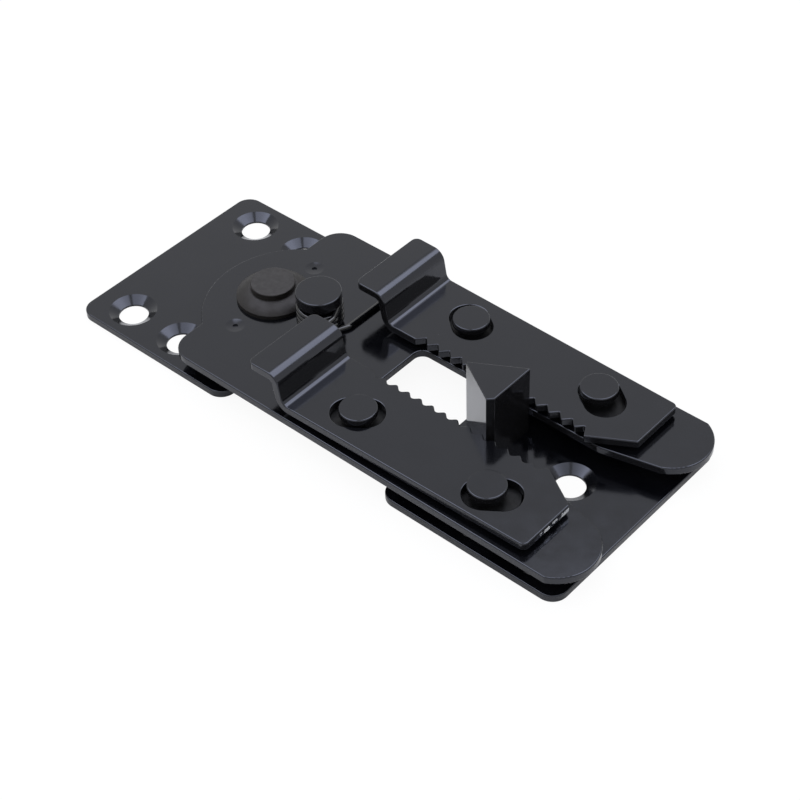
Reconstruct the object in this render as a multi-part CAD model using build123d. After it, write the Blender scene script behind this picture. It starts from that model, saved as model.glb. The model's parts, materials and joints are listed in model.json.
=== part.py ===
from build123d import *
import math
import os

# Sizes are in millimetres. X runs from the mounting plate towards the striker, Y runs across and
# Z runs up. The origin is on the swivel axis, in the plane that both screw plates stand on.

# Sheet metal
sheet = 2.0                      # thickness of every pressed plate
plate_width = 60.0               # width of the three plates
edge_round = 0.3                 # softened edge of a painted pressing
plate_corner = 4.0               # corner radius of the two screw plates
plate_gap = 3.5                  # height of the swivel plate over the screw plates
jaw_gap = 1.0                    # height of the jaws over the swivel plate
run_gap = 0.05                   # air between flat faces that slide on each other
bore_play = 0.08                 # radial clearance of the swivel and of the guide washers

# Countersunk screw holes
screw_hole = 7.4
screw_sink = 12.0                # width of the countersink at the top face
screw_land = 0.5                 # straight wall left under the countersink
screw_pitch_x = 17.1
screw_edge = 8.3                 # from a plate's long edge to the row of holes along it

# Mounting plate
mount_length = 50.2
mount_overhang = 11.2            # from the swivel axis to the plate's inner end
mount_hole_inset = 10.75         # from the outer end to the first row of holes

# Swivel joint
rivet_shank = 8.0
rivet_head = 11.0
rivet_head_height = 1.7
rivet_tail = 10.4                # width of the tail, set flush in the underside
rivet_tail_height = 0.9
spacer_width = 22.0
washer_width = 18.3
washer_rim = 1.0                 # height of the domed washer at its rim
washer_crown = 2.8               # height of the domed washer under the rivet head
washer_bulge = 0.25              # how far the dome stands over a straight cone

# Swivel plate
shoulder_x = 6.3                 # from the swivel axis back to the plate's square shoulders
shoulder_round = 6.0
tongue_centre = 7.2              # centre of the round end behind the shoulders
tongue_radius = 22.9
window_start = 40.5              # inner end of the fork's window
window_half = 8.2
window_round = 2.5
flare_start = 93.0               # where the window begins to widen
flare_angle = 13.6
flare_round = 6.0
prong_end = 107.2                # where the prongs' straight edges end
tip_bulge = 5.9                  # how far the round tips stand out beyond that
prong_round = 0.8                # at both ends of each round tip
dimple_x = 0.5                   # from the swivel axis
dimple_gap = 0.55                # from the spacer to the bulge under a dimple
dimple_width = 4.8
dimple_depth = 0.22
punch_width = 1.3                # of the punch mark in the middle of a dimple
punch_depth = 0.35

# Jaws, given for the back one; the front one is its mirror image
jaw_start = 20.9                 # free edge of the raised flange
jaw_inner = 7.2                  # inner edge, and the line of the tooth tips
jaw_edge_start = 0.6             # from the swivel plate's long edge to the jaw's, at the flange
jaw_edge_end = 2.1               # the same at the far end
flange_length = 8.05             # from the free edge to the corner of the mid line at the wall
flange_rise = 7.8                # height of the flange over the flat part
wall_lean = 1.3                  # how far the wall leans over that height
flange_bend = 2.2                # mid line radius of the upper bend
foot_bend = 2.7                  # mid line radius of the lower bend
flange_outer_round = 1.7
flange_inner_round = 1.75
end_round = 1.5
tooth_first = 41.4               # first tooth root
tooth_pitch = 3.6
tooth_count = 14
tooth_depth = {"front": 1.6, "back": 1.9}
tip_round = {"front": 0.6, "back": 0.4}
root_round = {"front": 0.9, "back": 0.3}
nose_run = 1.6                   # from the last tooth root to the long nose that ends the teeth
nose_y = 6.25
mouth_run = 10.5                 # length of the slanted lead-in, from the nose to the far end
mouth_y = 12.45                  # inner edge at the far end
mouth_round = 0.6                # corner between the lead-in and the far end

# Guide studs, placed from the swivel axis and the plate's long edge, and their slots in the jaws,
# placed from the stud
stud_spots = {"left": (46.15, 10.0), "right": (83.8, 9.9)}
slot_shift = {"front_left": (-0.2, 0.05), "front_right": (1.8, 0.35),
              "back_left": (-0.3, 0.2), "back_right": (1.55, -0.85)}
slot_half_run = {"left": 1.6, "right": 2.0}
slot_width = 9.5
slot_angle = 35.0
stud_shank = 6.6
stud_head = 9.0
stud_head_height = 1.55
stud_head_gap = 0.15
stud_tail = 5.2
jaw_washer_width = 15.0

# Spring post and torsion spring
post_x = 15.7
post_tail = 6.0
post_shank = 8.4
post_cap = 11.15
post_cap_height = 2.8
wire = 1.3
coil_play = 0.3                  # from the post to the coil
coil_air = 0.18                  # between two turns of the coil
coil_turns = 4                   # whole turns, with the bends into the legs
leg_turn = 25.35                 # where each leg leaves the coil, from the X axis
leg_offset = 6.9                 # from the post's axis to where the legs run across, under the flanges
leg_bend = 2.2
leg_lead = 1.0                   # short run in line with the coil before a leg levels out
lead_bend = 8.0
leg_reach = 15.0                 # where a leg turns towards its jaw
leg_tip_y = 18.5
leg_tip_drop = 4.5               # from the underside of the flange to the tip of a leg
leg_clearance = 0.2

# Striker
striker_length = 50.0
striker_lead = 0.6               # from the plate's inner end to the wedge's nose
striker_hole_inset = 10.6        # from the plate's outer end to its last row of holes
wedge_gap = 9                    # tooth root that holds the wedge's rear corners, counted from 0
wedge_shift = 0.1                # from that root to the wedge's rear face
wedge_bite = 0.3                 # how far the rear corners reach past the line of the tooth tips
wedge_length = 12.85
wedge_height = 18.8
wedge_cut_x = 1.3                # corner ground off the front of the wedge
wedge_cut_y = 2.1
wedge_peg = 6.0

# Levels
swivel_z = sheet + plate_gap
swivel_top = swivel_z + sheet
jaw_z = swivel_top + jaw_gap
jaw_top = jaw_z + sheet
jaw_mid = jaw_z + sheet / 2
flange_under = jaw_z + flange_rise
rivet_head_z = swivel_top + washer_crown

# Places that follow from the sizes above
half = plate_width / 2
wall_top = jaw_start + flange_length
nose_x = tooth_first + (tooth_count - 1) * tooth_pitch + nose_run
jaw_end = nose_x + mouth_run
coil_radius = post_shank / 2 + coil_play + wire / 2
coil_rise = (coil_turns - leg_turn / 180) * (wire + coil_air)
coil_height = coil_rise + wire + 2 * run_gap
wedge_rear = tooth_first + wedge_gap * tooth_pitch + wedge_shift
wedge_nose = wedge_rear - wedge_length
wedge_half = jaw_inner + wedge_bite
striker_start = wedge_nose - striker_lead


def turned(points, axis_x=0, axis_y=0):
    """A solid of revolution about an upright axis, from (radius, height) points."""
    outline = Plane.XZ * make_face(Polyline(*points, close=True))
    return Pos(axis_x, axis_y, 0) * revolve(outline, Axis.Z)


def disc(diameter, height, z, x=0, y=0):
    return Pos(x, y, z + height / 2) * Cylinder(diameter / 2, height)


def ring(diameter, bore, height, z, x=0, y=0):
    return disc(diameter, height, z, x, y) - disc(bore, height, z, x, y)


def round_rim(solid):
    """Soften the circular edge at the top of a turned piece."""
    top = solid.faces().sort_by(Axis.Z)[-1]
    return fillet(top.edges(), edge_round)


def pressing(outline, z):
    """A flat plate of the sheet's thickness, with every edge of its two faces softened."""
    plate = Pos(0, 0, z) * extrude(outline, sheet)
    flats = plate.faces().filter_by(Axis.Z)
    return fillet(flats.edges(), edge_round)


def screw_sink_cut(x, y):
    """What a countersunk screw hole takes out of a screw plate."""
    points = [(0, 0), (screw_hole / 2, 0), (screw_hole / 2, screw_land), (screw_sink / 2, sheet), (0, sheet)]
    return turned(points, x, y)


def screw_spots(centre_x):
    row = half - screw_edge
    return [(centre_x + sx * screw_pitch_x / 2, sy * row) for sx in (-1, 1) for sy in (-1, 1)]


def screw_plate(start, length):
    outline = Pos(start + length / 2, 0) * RectangleRounded(length, plate_width, plate_corner)
    return pressing(outline, 0)


def mounting_plate():
    start = mount_overhang - mount_length
    plate = screw_plate(start, mount_length)
    for x, y in screw_spots(start + mount_hole_inset + screw_pitch_x / 2):
        plate -= screw_sink_cut(x, y)
    tail = [(0, 0), (rivet_tail / 2, 0), (rivet_shank / 2, rivet_tail_height), (rivet_shank / 2, sheet), (0, sheet)]
    return plate - turned(tail)


def pivot_spacer():
    return ring(spacer_width, rivet_shank, plate_gap, sheet)


def pivot_washer():
    land = rivet_head / 2 + edge_round
    rim_top = swivel_top + washer_rim
    crown = swivel_top + washer_crown
    inner = rivet_shank / 2
    outer = washer_width / 2
    edges = Polyline((land, crown), (inner, crown), (inner, swivel_top), (outer, swivel_top), (outer, rim_top))
    edges += SagittaArc((outer, rim_top), (land, crown), -washer_bulge)
    return revolve(Plane.XZ * make_face(edges), Axis.Z)


def pivot_rivet():
    shank = rivet_shank / 2
    head = rivet_head / 2
    head_top = rivet_head_z + rivet_head_height
    points = [(0, 0), (rivet_tail / 2, 0), (shank, rivet_tail_height), (shank, rivet_head_z),
              (head, rivet_head_z), (head, head_top), (0, head_top)]
    return round_rim(turned(points))


def swivel_outline():
    """Plan of the swivel plate: round tongue, square shoulders and an open fork."""
    back = shoulder_x + tongue_centre
    spread = math.degrees(math.acos(back / tongue_radius))
    shoulder_y = math.sqrt(tongue_radius ** 2 - back ** 2)
    mouth_half = window_half + (prong_end - flare_start) * math.tan(math.radians(flare_angle))
    tip = (prong_end + tip_bulge, (half + mouth_half) / 2)
    line = CenterArc((tongue_centre, 0), tongue_radius, 180 - spread, spread)
    line += FilletPolyline((-shoulder_x, shoulder_y), (-shoulder_x, half), (prong_end, half), radius=shoulder_round)
    line += ThreePointArc((prong_end, half), tip, (prong_end, mouth_half))
    line += FilletPolyline(
        (prong_end, mouth_half), (flare_start, window_half), (window_start, window_half), (window_start, 0),
        radius=[flare_round, window_round])
    outline = make_face(line + mirror(line, Plane.XZ))
    return fillet(outline.vertices().group_by(Axis.X)[-1], prong_round)


def dimple(x, y):
    """The dent on the top face and the matching bulge under the plate."""
    dent_radius = (dimple_width ** 2 / 4 + dimple_depth ** 2) / (2 * dimple_depth)
    ball = Pos(x, y, swivel_top - dimple_depth + dent_radius) * Sphere(dent_radius)
    bulge = (Pos(0, 0, -sheet) * ball) & disc(2 * dimple_width, sheet, swivel_z - sheet, x, y)
    punch = Pos(x, y, swivel_top - dimple_depth) * Sphere(punch_width / 2)
    punch = punch & disc(punch_width, 2 * punch_depth, swivel_top - dimple_depth - punch_depth, x, y)
    return ball + punch, bulge


def stud_places():
    """Name and place of each guide stud."""
    for side_name, side in (("front", -1), ("back", 1)):
        for end, (x, inset) in stud_spots.items():
            yield f"{side_name}_{end}", x, side * (half - inset)


def swivel_plate():
    plate = pressing(swivel_outline(), swivel_z)
    dimple_y = (spacer_width + dimple_width) / 2 + dimple_gap
    for side in (-1, 1):
        dent, bulge = dimple(dimple_x, side * dimple_y)
        plate = plate - dent + bulge
    plate -= disc(rivet_shank + 2 * bore_play, sheet, swivel_z)
    plate -= disc(post_tail, sheet, swivel_z, post_x)
    for name, x, y in stud_places():
        plate -= disc(stud_tail, sheet, swivel_z, x, y)
    return plate


def jaw_plan(side_name):
    """Plan of the back jaw, with its toothed inner edge and the lead-in at the mouth."""
    roots = jaw_inner + tooth_depth[side_name]
    half_pitch = tooth_pitch / 2
    teeth = [(tooth_first - half_pitch, jaw_inner)]
    for n in range(tooth_count):
        root_x = tooth_first + n * tooth_pitch
        teeth += [(root_x, roots), (root_x + half_pitch, jaw_inner)]
    teeth[-1] = (nose_x, nose_y)
    teeth_radii = [tip_round[side_name]] + [root_round[side_name], tip_round[side_name]] * tooth_count
    corners = [(jaw_end, mouth_y), (jaw_end, half - jaw_edge_end), (jaw_start, half - jaw_edge_start),
               (jaw_start, jaw_inner)]
    corner_radii = [mouth_round, end_round, flange_outer_round, flange_inner_round]
    return make_face(FilletPolyline(*teeth, *corners, radius=teeth_radii + corner_radii, close=True))


def jaw_section():
    """Side view of a jaw: raised flange, leaning wall and flat part, as one bent strip."""
    flange_mid = jaw_mid + flange_rise
    mid_line = FilletPolyline(
        (jaw_start, flange_mid), (wall_top, flange_mid), (wall_top + wall_lean, jaw_mid), (jaw_end, jaw_mid),
        radius=[flange_bend, foot_bend])
    return trace(mid_line, sheet)


def slot_cut(side_name, end):
    x, inset = stud_spots[end]
    shift_x, shift_y = slot_shift[f"{side_name}_{end}"]
    length = 2 * slot_half_run[end] + slot_width
    outline = Rot(0, 0, -slot_angle) * SlotOverall(length, slot_width)
    return Pos(x + shift_x, half - inset + shift_y, jaw_z - sheet) * extrude(outline, 3 * sheet)


def cut_edges(bent):
    """Edges where the sheet was cut: those that border its broad faces on one side only."""
    broad = [face.edges() for face in bent.faces() if abs(face.normal_at().Y) < 0.01 < abs(face.normal_at().Z)]
    return [edge for edge in bent.edges() if sum(edge in edges for edges in broad) == 1]


def jaw(side_name):
    """One jaw, bent from sheet. Both are made on the back side, and the front one is mirrored."""
    block = Pos(0, 0, jaw_z - sheet) * extrude(jaw_plan(side_name), flange_rise + 3 * sheet)
    strip = extrude(Plane.XZ * jaw_section(), -plate_width)
    bent = block & strip
    for end in stud_spots:
        bent -= slot_cut(side_name, end)
    bent = fillet(cut_edges(bent), edge_round)
    return mirror(bent, Plane.XZ) if side_name == "front" else bent


def guide_stud(x, y):
    tail = stud_tail / 2
    shank = stud_shank / 2
    head = stud_head / 2
    head_z = jaw_top + stud_head_gap
    head_top = head_z + stud_head_height
    points = [(0, swivel_z), (tail, swivel_z), (tail, swivel_top), (shank, swivel_top), (shank, head_z),
              (head, head_z), (head, head_top), (0, head_top)]
    return round_rim(turned(points, x, y))


def jaw_washer(x, y):
    return ring(jaw_washer_width, stud_shank, jaw_gap - run_gap, swivel_top, x, y)


def spring_post():
    tail = post_tail / 2
    shank = post_shank / 2
    cap = post_cap / 2
    cap_z = swivel_top + coil_height
    cap_top = cap_z + post_cap_height
    points = [(0, swivel_z), (tail, swivel_z), (tail, swivel_top), (shank, swivel_top), (shank, cap_z),
              (cap, cap_z), (cap, cap_top), (0, cap_top)]
    return round_rim(turned(points, post_x))


def spring_leg(side, climb, z):
    """Line of one leg, from the coil outwards: 1 is the low back leg, -1 the high front one."""
    turn = math.radians(leg_turn)
    leg_x = post_x + leg_offset
    start = Vector(post_x + coil_radius * math.cos(turn), -side * coil_radius * math.sin(turn), z)
    heading = Vector(math.sin(turn), side * math.cos(turn), -side * climb)
    lead = start + heading * leg_lead
    cross_y = start.Y + heading.Y * (leg_x - start.X) / heading.X
    tip_z = flange_under - leg_tip_drop
    wall_slope = wall_lean / flange_rise
    wall_x = wall_top + wall_slope * (jaw_mid + flange_rise - tip_z) - sheet / 2 * math.hypot(1, wall_slope)
    tip = (wall_x - leg_clearance - wire / 2, side * leg_tip_y, tip_z)
    return FilletPolyline(
        start, lead, (leg_x, cross_y, lead.Z), (leg_x, side * leg_reach, lead.Z), tip,
        radius=[lead_bend, leg_bend, leg_bend])


def torsion_spring():
    """Coil round the post, with one leg to the wall of each jaw."""
    low = swivel_top + run_gap + wire / 2
    high = low + coil_rise
    pitch = wire + coil_air
    climb = pitch / (2 * math.pi * coil_radius)
    coil = Helix(pitch, coil_rise, coil_radius, lefthand=True)
    coil = Pos(post_x, 0, low) * Rot(0, 0, -leg_turn) * coil
    line = Wire(spring_leg(1, climb, low).edges() + coil.edges() + spring_leg(-1, climb, high).edges())
    section = Plane(origin=line @ 0, z_dir=line % 0) * Circle(wire / 2)
    return sweep(section, path=line)


def striker_plate():
    plate = screw_plate(striker_start, striker_length)
    centre = striker_start + striker_length - striker_hole_inset - screw_pitch_x / 2
    for x, y in screw_spots(centre) + [(centre, 0)]:
        plate -= screw_sink_cut(x, y)
    return plate - disc(wedge_peg, sheet, 0, wedge_centre())


def wedge_centre():
    return wedge_nose + wedge_length * 2 / 3


def striker_wedge():
    slope = wedge_half / wedge_length
    cut_x = wedge_rear - wedge_cut_x
    outline = make_face(Polyline(
        (wedge_nose, 0), (cut_x, slope * (wedge_nose - cut_x)), (wedge_rear, wedge_cut_y - wedge_half),
        (wedge_rear, wedge_half), close=True))
    wedge = Pos(0, 0, sheet) * extrude(outline, wedge_height)
    wedge = fillet(wedge.edges().filter_by(Axis.Z), edge_round)
    wedge = fillet(wedge.faces().sort_by(Axis.Z)[-1].edges(), edge_round)
    return wedge + disc(wedge_peg, sheet, 0, wedge_centre())


def named_parts():
    yield "mounting_plate", mounting_plate()
    yield "pivot_spacer", pivot_spacer()
    yield "pivot_washer", pivot_washer()
    yield "pivot_rivet", pivot_rivet()
    yield "swivel_plate", swivel_plate()
    yield "front_jaw", jaw("front")
    yield "back_jaw", jaw("back")
    for place, x, y in stud_places():
        yield f"guide_stud_{place}", guide_stud(x, y)
        yield f"jaw_washer_{place}", jaw_washer(x, y)
    yield "spring_post", spring_post()
    yield "torsion_spring", torsion_spring()
    yield "striker_plate", striker_plate()
    yield "striker_wedge", striker_wedge()


os.makedirs("parts", exist_ok=True)
for node, solid in named_parts():
    export_step(solid, f"parts/{node}.step")
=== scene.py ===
import json
import math

import bmesh
import bpy
from mathutils import Matrix, Vector


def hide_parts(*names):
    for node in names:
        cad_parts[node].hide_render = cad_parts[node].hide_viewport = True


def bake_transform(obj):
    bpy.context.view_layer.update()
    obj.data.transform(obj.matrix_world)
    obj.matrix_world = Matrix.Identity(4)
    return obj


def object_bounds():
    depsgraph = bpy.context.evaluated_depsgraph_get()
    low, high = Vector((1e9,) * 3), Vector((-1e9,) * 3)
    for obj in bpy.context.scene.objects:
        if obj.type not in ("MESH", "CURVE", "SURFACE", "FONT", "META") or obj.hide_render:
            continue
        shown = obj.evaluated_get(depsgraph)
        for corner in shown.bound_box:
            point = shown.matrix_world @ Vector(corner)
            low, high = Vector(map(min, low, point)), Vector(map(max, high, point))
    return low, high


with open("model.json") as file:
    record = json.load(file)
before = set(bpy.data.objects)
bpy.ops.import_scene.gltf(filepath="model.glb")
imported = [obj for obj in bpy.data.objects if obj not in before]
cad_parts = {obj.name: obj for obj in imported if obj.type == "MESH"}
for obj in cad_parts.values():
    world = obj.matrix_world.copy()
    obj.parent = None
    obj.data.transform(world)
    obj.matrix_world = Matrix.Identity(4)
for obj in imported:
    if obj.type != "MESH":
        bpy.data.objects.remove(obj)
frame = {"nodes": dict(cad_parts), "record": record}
cad_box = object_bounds()
nodes = frame["nodes"]

# Lengths are metres in the frame's own axes, and a strength of 1 is white

# Camera, at the photograph's viewing angle
CAMERA_PLACE = Vector((0.262401, -0.239806, 0.303570))
CAMERA_AZIMUTH = math.radians(-47.237)      # of the line from the object to the camera, from +X
CAMERA_ELEVATION = math.radians(43.221)
CAMERA_ROLL = math.radians(-2.266)
CAMERA_REACH = (0.01, 20.0)                 # nearest and farthest thing that it sees
SENSOR = 36.0                               # this and the lens in millimetres
LENS = 84.646

# White room
WHITE = (1.0, 1.0, 1.0, 1.0)
ROOM_STRENGTH = 1.0                         # as light on the object
CEILING_SEEN = 0.88                         # brightness of the ceiling in reflections
CEILING_FROM = 0.70                         # upward share of the direction where walls turn to ceiling
CEILING_FULL = 0.84                         # and where it is all ceiling

# Two softboxes overhead, left and right of the camera
BOX_HEIGHT = 0.9                            # over the object
BOX_WIDTH = 0.76                            # across the view
BOX_LENGTH = 1.26                           # along the view
BOX_SIDE = 0.420                            # from the camera's plane to a box's middle
BOX_BACK = 0.11                             # how far the middles lie behind the object
BOX_SIDE_FADE = 0.05                        # how far a box fades towards its long edges
BOX_BACK_FADE = 0.20                        # how far it fades towards its end behind the object
BOX_FRONT_FADE = 0.55                       # how far it fades towards its end in front of it
BOX_SEEN = 5.0                              # brightness in reflections
BOX_LIGHT = 1.15                            # brightness as light on the object
BOX_COLOUR = (0.84, 0.87, 1.0, 1.0)

# Floor
FLOOR_SIZE = 3.0
FLOOR_MIDDLE = (0.04, 0, -0.00005)          # just under the plates
FLOOR_COLOUR = 0.85                         # what the floor throws back of the light on it
FLOOR_SHADOW = 0.10                         # the same as the camera sees it, so that its shadow is faint
FLOOR_WHITE = 1.02                          # brightness of the open floor

# How much of a noise's range a mottled colour and an uneven gloss spread over
TONE_BAND = (0.35, 0.65)
GLOSS_BAND = (0.3, 0.7)

# Black paint and what happened to it
PAINT_DEEP = (0.0018, 0.0020, 0.0030, 1)
PAINT_PALE = (0.0030, 0.0032, 0.0044, 1)
# Painted sheen: a lighter colour for upright cut faces, standing in for the light they catch from the
# floor
EDGE_PAINTED_SHEEN = (0.0062, 0.0062, 0.0070, 1)
EDGE_FLATNESS = (0.2, 0.6)                  # flatness of a cut edge and of a plate's face
DUST = (0.30, 0.31, 0.33, 1)
DUST_CELLS = 210.0                          # cells in a metre, each of which may hold one speck
DUST_SHARE = 0.88                           # cells above this value hold one
DUST_SIZE = (0.018, 0.034)                  # of a speck's core and its rim, as a share of a cell
BARE_STEEL = (0.72, 0.74, 0.76, 1)
BARE_METALLIC = 0.3

# The end face of the front jaw, where the paint tore off, less and less towards its outer end
TORN_FROM = (0.0990, -0.0245, 0.0084)
TORN_TO = (0.1040, -0.0120, 0.0099)
TORN_LIMITS = (0.62, 0.40)                  # noise above this is bare, at the outer and the inner end

# The wedge's slanted faces, polished by the teeth: |y| = slope * (x - nose) inside this box
WEDGE_NOSE = 0.06105
WEDGE_SLOPE = 7.5 / 12.85                   # half its width over its length
WEDGE_FROM = (0.0605, -0.00715, 0.0022)
WEDGE_TO = (0.0745, 0.00715, 0.0210)
POLISH_DEPTH = 0.0001

# Other finishes
GREASED_DEEP = (0.0014, 0.0015, 0.0018, 1)
GREASED_PALE = (0.0035, 0.0037, 0.0042, 1)
STEEL_DEEP = (0.0270, 0.0260, 0.0270, 1)
STEEL_PALE = (0.0400, 0.0390, 0.0400, 1)
# Painted shade: the darker colour that slopes and sides of the rivet and its washer get
STEEL_PAINTED_SHADE = (0.0080, 0.0072, 0.0066, 1)
STEEL_FLATNESS = (0.95, 0.999)              # flatness of a slope and of a flat face
WIRE_DEEP = (0.0020, 0.0022, 0.0028, 1)
WIRE_PALE = (0.0045, 0.0047, 0.0055, 1)


def node(tree, kind, **sockets):
    """A shader node, with its input sockets set by name (underscores stand for spaces)."""
    made = tree.nodes.new(kind)
    for name, value in sockets.items():
        made.inputs[name.replace("_", " ")].default_value = value
    return made


def maths(tree, operation, *values):
    """A maths node; each value is a number or another node's output."""
    made = tree.nodes.new("ShaderNodeMath")
    made.operation = operation
    for socket, value in zip(made.inputs, values):
        if isinstance(value, (int, float)):
            socket.default_value = value
        else:
            tree.links.new(value, socket)
    return made.outputs[0]


def spread(tree, value, low_in, high_in, low_out, high_out):
    """A value's range between two limits, stretched to another range and held at its ends."""
    made = node(tree, "ShaderNodeMapRange",
                From_Min=low_in, From_Max=high_in, To_Min=low_out, To_Max=high_out)
    tree.links.new(value, made.inputs["Value"])
    return made.outputs["Result"]


def axes_of(tree, vector):
    """The three coordinates of a vector output."""
    axes = tree.nodes.new("ShaderNodeSeparateXYZ")
    tree.links.new(vector, axes.inputs[0])
    return axes.outputs


def own_place(tree):
    """Where a point lies in its object's own metres, which for the part are the frame's."""
    return tree.nodes.new("ShaderNodeTexCoord").outputs["Object"]


def mix_shaders(tree, factor, low, high):
    """One shader where the factor is 0, and another where it is 1."""
    made = tree.nodes.new("ShaderNodeMixShader")
    for socket, value in zip(made.inputs, (factor, low, high)):
        tree.links.new(value, socket)
    return made.outputs[0]


def seen_or_mirrored(tree):
    """1 where a ray comes from the camera, a reflection or glass, 0 for light that falls on things."""
    path = tree.nodes.new("ShaderNodeLightPath").outputs
    mirrored = maths(tree, "MAXIMUM", path["Is Glossy Ray"], path["Is Transmission Ray"])
    return maths(tree, "MAXIMUM", path["Is Camera Ray"], mirrored)


def empty_material(name):
    """A material without any node but its output; returns the material, its tree and that output."""
    material = bpy.data.materials.new(name)
    material.use_nodes = True
    tree = material.node_tree
    tree.nodes.clear()
    return material, tree, tree.nodes.new("ShaderNodeOutputMaterial")


def make_camera():
    out = Vector((math.cos(CAMERA_ELEVATION) * math.cos(CAMERA_AZIMUTH),
                  math.cos(CAMERA_ELEVATION) * math.sin(CAMERA_AZIMUTH),
                  math.sin(CAMERA_ELEVATION)))
    level = (-out).cross(Vector((0, 0, 1))).normalized()
    upward = level.cross(-out)
    right = math.cos(CAMERA_ROLL) * level + math.sin(CAMERA_ROLL) * upward
    up = math.cos(CAMERA_ROLL) * upward - math.sin(CAMERA_ROLL) * level
    turn = Matrix((right, up, out)).transposed().to_4x4()
    data = bpy.data.cameras.new("camera")
    data.lens = LENS
    data.sensor_width = SENSOR
    data.clip_start, data.clip_end = CAMERA_REACH
    camera = bpy.data.objects.new("camera", data)
    camera.matrix_world = Matrix.Translation(CAMERA_PLACE) @ turn
    bpy.context.scene.collection.objects.link(camera)
    bpy.context.scene.camera = camera


def make_world():
    """White all round, with a greyer ceiling that only reflections show."""
    world = bpy.data.worlds.new("room")
    bpy.context.scene.world = world
    world.use_nodes = True
    tree = world.node_tree
    tree.nodes.clear()
    light = node(tree, "ShaderNodeBackground", Color=WHITE, Strength=ROOM_STRENGTH)
    seen = node(tree, "ShaderNodeBackground", Color=WHITE)
    direction = tree.nodes.new("ShaderNodeTexCoord").outputs["Generated"]
    upward = axes_of(tree, direction)["Z"]
    strength = spread(tree, upward, CEILING_FROM, CEILING_FULL, 1.0, CEILING_SEEN)
    tree.links.new(strength, seen.inputs["Strength"])
    both = mix_shaders(tree, seen_or_mirrored(tree), light.outputs[0], seen.outputs[0])
    out = tree.nodes.new("ShaderNodeOutputWorld")
    tree.links.new(both, out.inputs["Surface"])


def flat_sheet(name, width, length, material, matrix):
    """A rectangle in its own XY plane, kept out of the part."""
    mesh = bpy.data.meshes.new(name)
    x, y = width / 2, length / 2
    mesh.from_pydata([(-x, -y, 0), (x, -y, 0), (x, y, 0), (-x, y, 0)], [], [(0, 1, 2, 3)])
    mesh.materials.append(material)
    made = bpy.data.objects.new(name, mesh)
    made.matrix_world = matrix
    bpy.context.scene.collection.objects.link(made)


def make_floor():
    """Just white where the camera or a reflection sees it, but for a faint shadow."""
    material, tree, out = empty_material("floor")
    by_camera = tree.nodes.new("ShaderNodeLightPath").outputs["Is Camera Ray"]
    colour = spread(tree, by_camera, 0.0, 1.0, FLOOR_COLOUR, FLOOR_SHADOW)
    matte = tree.nodes.new("ShaderNodeBsdfDiffuse")
    tree.links.new(colour, matte.inputs["Color"])
    white = node(tree, "ShaderNodeEmission", Color=WHITE)
    rest = maths(tree, "MULTIPLY", seen_or_mirrored(tree), maths(tree, "SUBTRACT", FLOOR_WHITE, colour))
    tree.links.new(rest, white.inputs["Strength"])
    both = tree.nodes.new("ShaderNodeAddShader")
    tree.links.new(matte.outputs[0], both.inputs[0])
    tree.links.new(white.outputs[0], both.inputs[1])
    tree.links.new(both.outputs[0], out.inputs["Surface"])
    flat_sheet("floor", FLOOR_SIZE, FLOOR_SIZE, material, Matrix.Translation(FLOOR_MIDDLE))


def edge_fade(tree):
    """1 over the middle of a softbox, falling to 0 at its edges."""
    place = axes_of(tree, own_place(tree))
    side = maths(tree, "SUBTRACT", BOX_WIDTH / 2, maths(tree, "ABSOLUTE", place["X"]))
    behind = maths(tree, "SUBTRACT", BOX_LENGTH / 2, place["Y"])
    ahead = maths(tree, "ADD", BOX_LENGTH / 2, place["Y"])
    fade = 1.0
    for distance, run in ((side, BOX_SIDE_FADE), (behind, BOX_BACK_FADE), (ahead, BOX_FRONT_FADE)):
        fade = maths(tree, "MULTIPLY", fade, spread(tree, distance, 0.0, run, 0.0, 1.0))
    return fade


def softbox_glow():
    """Soft-edged glow: one brightness in reflections and another as light on things."""
    material, tree, out = empty_material("softbox")
    clear = node(tree, "ShaderNodeBsdfTransparent", Color=WHITE)
    lit = node(tree, "ShaderNodeEmission", Color=BOX_COLOUR)
    strength = spread(tree, seen_or_mirrored(tree), 0.0, 1.0, BOX_LIGHT, BOX_SEEN)
    tree.links.new(strength, lit.inputs["Strength"])
    faded = mix_shaders(tree, edge_fade(tree), clear.outputs[0], lit.outputs[0])
    tree.links.new(faded, out.inputs["Surface"])
    return material


def make_softboxes():
    centre = (cad_box[0] + cad_box[1]) / 2
    across = Vector((-math.sin(CAMERA_AZIMUTH), math.cos(CAMERA_AZIMUTH), 0))
    back = Vector((-math.cos(CAMERA_AZIMUTH), -math.sin(CAMERA_AZIMUTH), 0))
    turn = Matrix.Rotation(math.atan2(across.y, across.x), 4, "Z")
    glow = softbox_glow()
    for name, side in (("softbox_left", -1), ("softbox_right", 1)):
        place = centre + side * BOX_SIDE * across + BOX_BACK * back + Vector((0, 0, BOX_HEIGHT))
        flat_sheet(name, BOX_WIDTH, BOX_LENGTH, glow, Matrix.Translation(place) @ turn)


def new_material(name, **sockets):
    """A material with one principled shader; returns the material, its tree and the shader."""
    material = bpy.data.materials.new(name)
    material.use_nodes = True
    tree = material.node_tree
    shader = tree.nodes["Principled BSDF"]
    for socket, value in sockets.items():
        shader.inputs[socket.replace("_", " ")].default_value = value
    return material, tree, shader


def noise(tree, scale, detail=2.0, roughness=0.5):
    """Noise with its scale in grains to a metre, so that its grain has a real size."""
    made = node(tree, "ShaderNodeTexNoise", Scale=scale, Detail=detail, Roughness=roughness)
    tree.links.new(own_place(tree), made.inputs["Vector"])
    return made.outputs["Fac"]


def blend_colours(tree, factor, low, high):
    """A mix of two colours; each is a value or another node's output."""
    made = tree.nodes.new("ShaderNodeMix")
    made.data_type = "RGBA"
    for name, colour in (("A", low), ("B", high)):
        if isinstance(colour, tuple):
            made.inputs[name].default_value = colour
        else:
            tree.links.new(colour, made.inputs[name])
    tree.links.new(factor, made.inputs["Factor"])
    return made.outputs["Result"]


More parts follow.
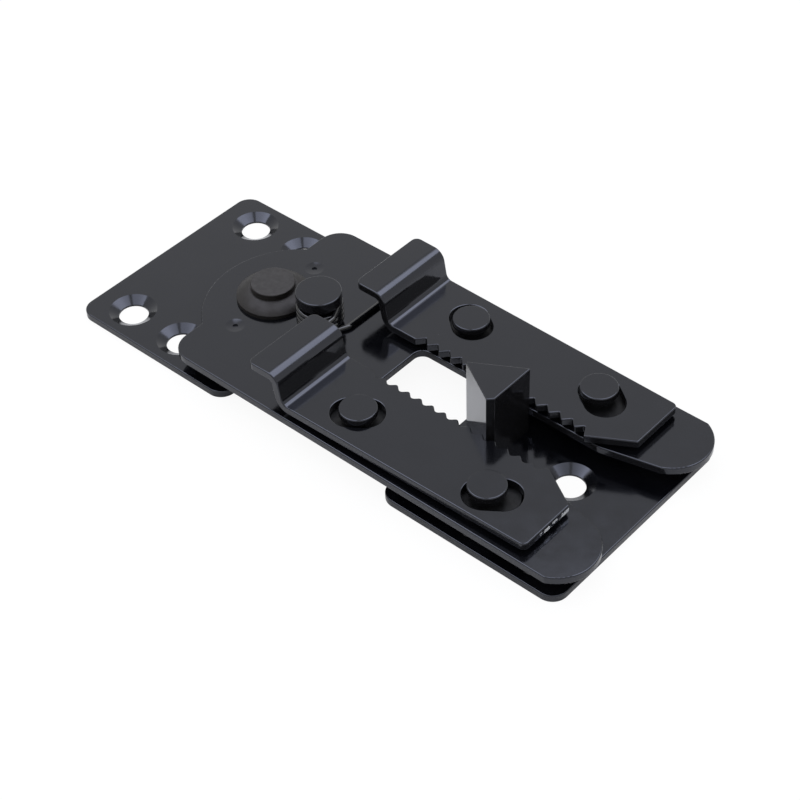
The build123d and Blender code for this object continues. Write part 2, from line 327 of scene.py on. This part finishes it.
def mottled(tree, deep, pale, scale, detail, roughness=0.5):
    """A colour that wanders between two."""
    tone = spread(tree, noise(tree, scale, detail, roughness), *TONE_BAND, 0.0, 1.0)
    return blend_colours(tree, tone, deep, pale)


def uneven_gloss(tree, shader, scale, low, high):
    """Roughness that wanders between two values."""
    gloss = spread(tree, noise(tree, scale, 3.0), *GLOSS_BAND, low, high)
    tree.links.new(gloss, shader.inputs["Roughness"])


def add_bump(tree, shader, layers):
    """Bump from several (height output, depth in metres) layers, one after another."""
    normal = None
    for height, depth in layers:
        bump = node(tree, "ShaderNodeBump", Strength=1.0, Distance=depth)
        tree.links.new(height, bump.inputs["Height"])
        if normal is not None:
            tree.links.new(normal, bump.inputs["Normal"])
        normal = bump.outputs["Normal"]
    tree.links.new(normal, shader.inputs["Normal"])


def flatness(tree):
    """1 where a face lies flat, 0 where it stands upright."""
    facing = tree.nodes.new("ShaderNodeNewGeometry").outputs["True Normal"]
    return maths(tree, "ABSOLUTE", axes_of(tree, facing)["Z"])


def inside_box(tree, low, high):
    """1 inside a box in the frame's own metres, 0 outside."""
    place = axes_of(tree, own_place(tree))
    inside = 1.0
    for axis, start, end in zip("XYZ", low, high):
        span = maths(tree, "COMPARE", place[axis], (start + end) / 2, (end - start) / 2)
        inside = maths(tree, "MULTIPLY", inside, span)
    return inside


def polished_by_teeth(tree):
    """1 on the wedge's two slanted faces, 0 elsewhere."""
    place = axes_of(tree, own_place(tree))
    face = maths(tree, "MULTIPLY", maths(tree, "SUBTRACT", place["X"], WEDGE_NOSE), WEDGE_SLOPE)
    on_face = maths(tree, "COMPARE", maths(tree, "ABSOLUTE", place["Y"]), face, POLISH_DEPTH)
    return maths(tree, "MULTIPLY", on_face, inside_box(tree, WEDGE_FROM, WEDGE_TO))


def dust(tree):
    """1 on a few fine specks, 0 elsewhere."""
    cells = node(tree, "ShaderNodeTexVoronoi", Scale=DUST_CELLS)
    tree.links.new(own_place(tree), cells.inputs["Vector"])
    speck = spread(tree, cells.outputs["Distance"], *DUST_SIZE, 1.0, 0.0)
    draw = axes_of(tree, cells.outputs["Color"])["X"]
    return maths(tree, "MULTIPLY", speck, maths(tree, "GREATER_THAN", draw, DUST_SHARE))


def black_paint():
    """Stoved gloss paint on pressed steel: near black, slightly uneven, with fine dust, wavy on the cut
    edges and painted lighter there as a painted sheen, torn down to bare steel on one end face and
    polished on the wedge."""
    material, tree, shader = new_material("black_paint", IOR=1.51, Specular_Tint=(0.84, 0.875, 1.0, 1.0),
                                          Coat_IOR=1.7, Coat_Roughness=0.04)
    cut_edge = spread(tree, flatness(tree), *EDGE_FLATNESS, 1.0, 0.0)
    torn_end = inside_box(tree, TORN_FROM, TORN_TO)
    ragged = noise(tree, 520.0, 4.0, 0.6)
    along = axes_of(tree, own_place(tree))["Y"]
    left_over = spread(tree, along, TORN_FROM[1], TORN_TO[1], *TORN_LIMITS)
    bare = maths(tree, "MULTIPLY", maths(tree, "GREATER_THAN", ragged, left_over), torn_end)
    colour = mottled(tree, PAINT_DEEP, PAINT_PALE, 90.0, 4.0)
    # painted sheen: upright cut faces get a lighter colour than flat ones
    colour = blend_colours(tree, cut_edge, colour, EDGE_PAINTED_SHEEN)
    colour = blend_colours(tree, dust(tree), colour, DUST)
    colour = blend_colours(tree, bare, colour, BARE_STEEL)
    tree.links.new(colour, shader.inputs["Base Color"])
    tree.links.new(maths(tree, "MULTIPLY", bare, BARE_METALLIC), shader.inputs["Metallic"])
    uneven_gloss(tree, shader, 260.0, 0.09, 0.16)
    tree.links.new(polished_by_teeth(tree), shader.inputs["Coat Weight"])
    runs = maths(tree, "MULTIPLY", noise(tree, 700.0, 2.0), cut_edge)
    jagged = maths(tree, "MULTIPLY", ragged, torn_end)
    add_bump(tree, shader, [(noise(tree, 420.0, 1.0), 8e-6), (noise(tree, 2600.0, 2.0), 1.4e-6),
                            (runs, 2e-5), (jagged, 8e-4)])
    return material


def greased_black():
    """Black paint under old grease, on the washers that run between a jaw and the swivel plate."""
    material, tree, shader = new_material("greased_black", IOR=1.3)
    colour = mottled(tree, GREASED_DEEP, GREASED_PALE, 400.0, 3.0)
    tree.links.new(colour, shader.inputs["Base Color"])
    uneven_gloss(tree, shader, 600.0, 0.35, 0.55)
    add_bump(tree, shader, [(noise(tree, 900.0, 3.0), 1.5e-5)])
    return material


def dark_steel():
    """Bare phosphated steel of the rivet and its washer: matte, nearly black, finely mottled, with
    painted shade that makes its slopes and sides darker."""
    material, tree, shader = new_material("dark_steel", IOR=1.38, Specular_Tint=(1.0, 0.97, 0.97, 1.0))
    flat = mottled(tree, STEEL_DEEP, STEEL_PALE, 900.0, 5.0, 0.6)
    level = spread(tree, flatness(tree), *STEEL_FLATNESS, 0.0, 1.0)
    # painted shade: slopes and sides get a darker colour than flat faces
    colour = blend_colours(tree, level, STEEL_PAINTED_SHADE, flat)
    tree.links.new(colour, shader.inputs["Base Color"])
    uneven_gloss(tree, shader, 500.0, 0.45, 0.58)
    add_bump(tree, shader, [(noise(tree, 1800.0, 3.0), 5e-6), (noise(tree, 6000.0, 2.0), 2e-6)])
    return material


def black_wire():
    """Oiled black spring wire, with fine marks from drawing."""
    material, tree, shader = new_material("black_wire", IOR=1.5)
    colour = mottled(tree, WIRE_DEEP, WIRE_PALE, 500.0, 3.0)
    tree.links.new(colour, shader.inputs["Base Color"])
    uneven_gloss(tree, shader, 900.0, 0.05, 0.10)
    add_bump(tree, shader, [(noise(tree, 3000.0, 2.0), 2e-6)])
    return material


def dress(materials):
    """Give every CAD node the material of its slot, and the jaw washers greased paint."""
    for part in frame["record"]["subparts"]:
        piece = nodes[part["node"]]
        finish = "greased_black" if part["node"].startswith("jaw_washer") else part["material_slot"]
        piece.data.materials.clear()
        piece.data.materials.append(materials[finish])


def spring_half(name, side, material):
    """Half of the spring, cut from a copy of its node at the plane y = 0; the node itself is hidden."""
    mesh = nodes["torsion_spring"].data.copy()
    mesh.materials.clear()
    mesh.materials.append(material)
    shape = bmesh.new()
    shape.from_mesh(mesh)
    bmesh.ops.bisect_plane(shape, geom=[*shape.verts, *shape.edges, *shape.faces],
                           plane_co=(0, 0, 0), plane_no=(0, side, 0), clear_inner=True)
    shape.to_mesh(mesh)
    shape.free()
    half = bpy.data.objects.new(name, mesh)
    bpy.context.scene.collection.objects.link(half)
    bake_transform(half)
    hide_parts("torsion_spring")


make_camera()
make_world()
make_floor()
make_softboxes()
bpy.context.scene.view_settings.view_transform = "Standard"
finishes = {"black_paint": black_paint(), "greased_black": greased_black(), "dark_steel": dark_steel(),
            "black_wire": black_wire()}
dress(finishes)
spring_half("torsion_spring_front", -1, finishes["black_wire"])
spring_half("torsion_spring_back", 1, finishes["black_wire"])
